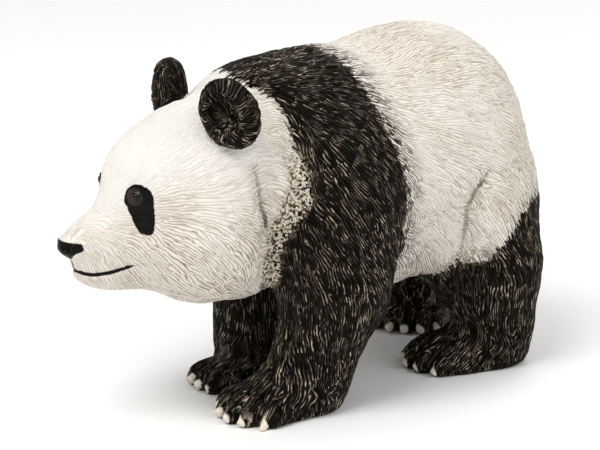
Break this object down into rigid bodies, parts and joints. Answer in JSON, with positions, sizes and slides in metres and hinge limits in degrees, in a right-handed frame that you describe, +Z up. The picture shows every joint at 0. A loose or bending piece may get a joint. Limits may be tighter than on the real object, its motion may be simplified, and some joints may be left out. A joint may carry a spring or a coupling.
{
  "type": "panda figurine",
  "caption": "Small one-piece painted vinyl figurine of a giant panda walking on all fours, head lowered and turned, with moulded fur, round ears and clawed paws.",
  "frame": {"origin": "bottom centre of the figure's box, on the ground under its soles", "axes": "-Y is ahead, from the tail towards the nose; +X is the figure's left; +Z is up"},
  "size_m": [0.0426, 0.0918, 0.0558],
  "materials": {
    "painted_vinyl": "moulded vinyl with hand-painted white and black fur, matt"
  },
  "bodies": {
    "root": {"panda": "painted_vinyl"}
  },
  "joints": []
}
